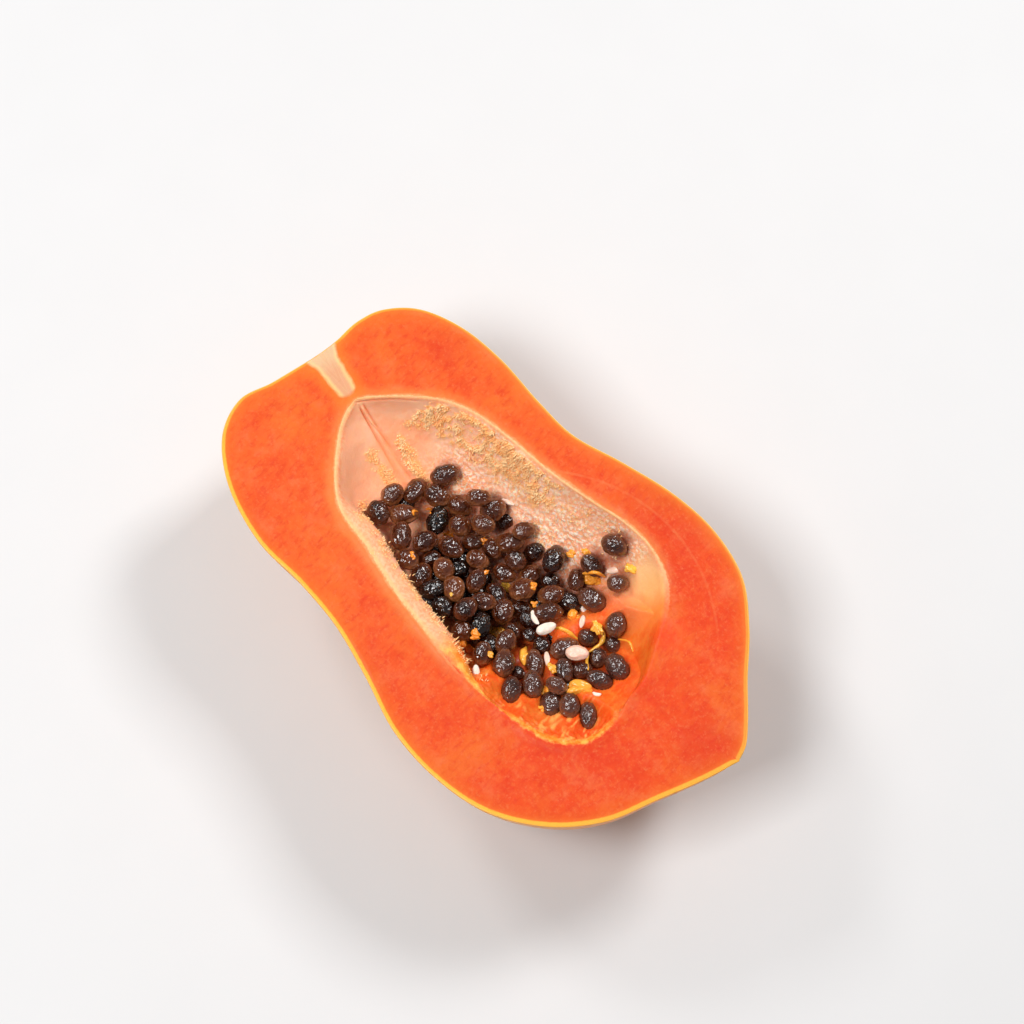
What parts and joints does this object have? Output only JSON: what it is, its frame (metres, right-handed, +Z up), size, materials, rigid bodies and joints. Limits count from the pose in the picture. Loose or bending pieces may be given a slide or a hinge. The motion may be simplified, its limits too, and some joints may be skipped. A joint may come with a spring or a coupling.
{
  "type": "papaya half",
  "caption": "Ripe papaya cut in half lengthwise, lying on its skin, with a heap of dark seeds in its hollow.",
  "frame": {"origin": "on the surface that the half rests on, under the middle of its bounding box", "axes": "+X from the stem end to the blossom end, +Z up, out of the level cut face, +Y across the cut face"},
  "size_m": [0.176, 0.1066, 0.052],
  "materials": {
    "flesh": "moist ripe flesh, satin, with thin yellow-orange skin outside and a pale lining in the hollow",
    "seed_coat": "dark wrinkled seed in a wet clear coat, glossy",
    "pale_seed_coat": "pale unripe seed, smooth and moist"
  },
  "bodies": {
    "root": {"papaya_half": "flesh", "pale_seed_1": "pale_seed_coat", "pale_seed_2": "pale_seed_coat", "seed_01": "seed_coat", "seed_02": "seed_coat", "seed_03": "seed_coat", "seed_04": "seed_coat", "seed_05": "seed_coat", "seed_06": "seed_coat", "seed_07": "seed_coat", "seed_08": "seed_coat", "seed_09": "seed_coat", "seed_10": "seed_coat", "seed_11": "seed_coat", "seed_12": "seed_coat", "seed_13": "seed_coat", "seed_14": "seed_coat", "seed_15": "seed_coat", "seed_16": "seed_coat", "seed_17": "seed_coat", "seed_18": "seed_coat", "seed_19": "seed_coat", "seed_20": "seed_coat", "seed_21": "seed_coat", "seed_22": "seed_coat", "seed_23": "seed_coat", "seed_24": "seed_coat", "seed_25": "seed_coat", "seed_26": "seed_coat", "seed_27": "seed_coat", "seed_28": "seed_coat", "seed_29": "seed_coat", "seed_30": "seed_coat", "seed_31": "seed_coat", "seed_32": "seed_coat", "seed_33": "seed_coat", "seed_34": "seed_coat", "seed_35": "seed_coat", "seed_36": "seed_coat", "seed_37": "seed_coat", "seed_38": "seed_coat", "seed_39": "seed_coat", "seed_40": "seed_coat", "seed_41": "seed_coat", "seed_42": "seed_coat", "seed_43": "seed_coat", "seed_44": "seed_coat", "seed_45": "seed_coat", "seed_46": "seed_coat", "seed_47": "seed_coat", "seed_48": "seed_coat", "seed_49": "seed_coat", "seed_50": "seed_coat", "seed_51": "seed_coat", "seed_52": "seed_coat", "seed_53": "seed_coat", "seed_54": "seed_coat", "seed_55": "seed_coat", "seed_56": "seed_coat", "seed_57": "seed_coat"}
  },
  "joints": []
}
